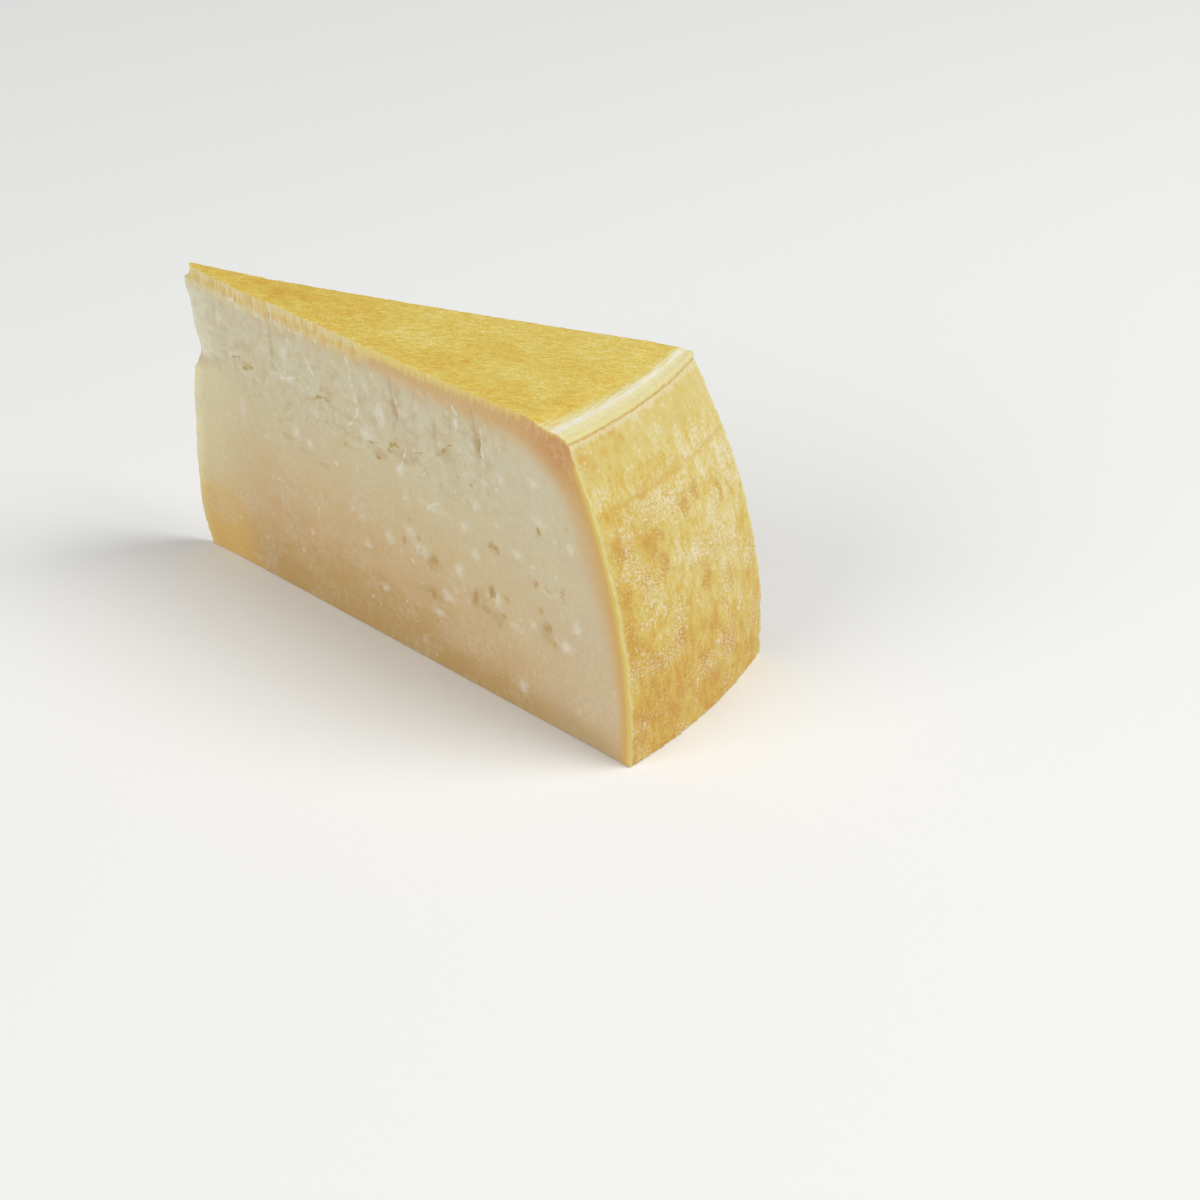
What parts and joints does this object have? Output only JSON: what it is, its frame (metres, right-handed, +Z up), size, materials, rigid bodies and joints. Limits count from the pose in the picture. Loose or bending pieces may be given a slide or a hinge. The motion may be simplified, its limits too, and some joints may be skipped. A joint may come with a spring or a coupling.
{
  "type": "parmesan wedge",
  "caption": "Wedge of hard aged cheese, a sector of the upper half of a wheel, with rind on top and heel, a broken thin end and a flat cut foot.",
  "frame": {"origin": "under the middle of the wedge's bounding box, on the flat cut foot that it stands on", "axes": "+X from the thin end towards the rind at the heel, along the line that halves the wedge's angle; +Y across the wedge; +Z up to the rind on top"},
  "size_m": [0.2168, 0.082, 0.115],
  "materials": {
    "cheese": "pale straw, crumbly cut paste with white crystals; golden oiled rind on top and on the heel"
  },
  "bodies": {
    "root": {"cheese_wedge": "cheese"}
  },
  "joints": []
}
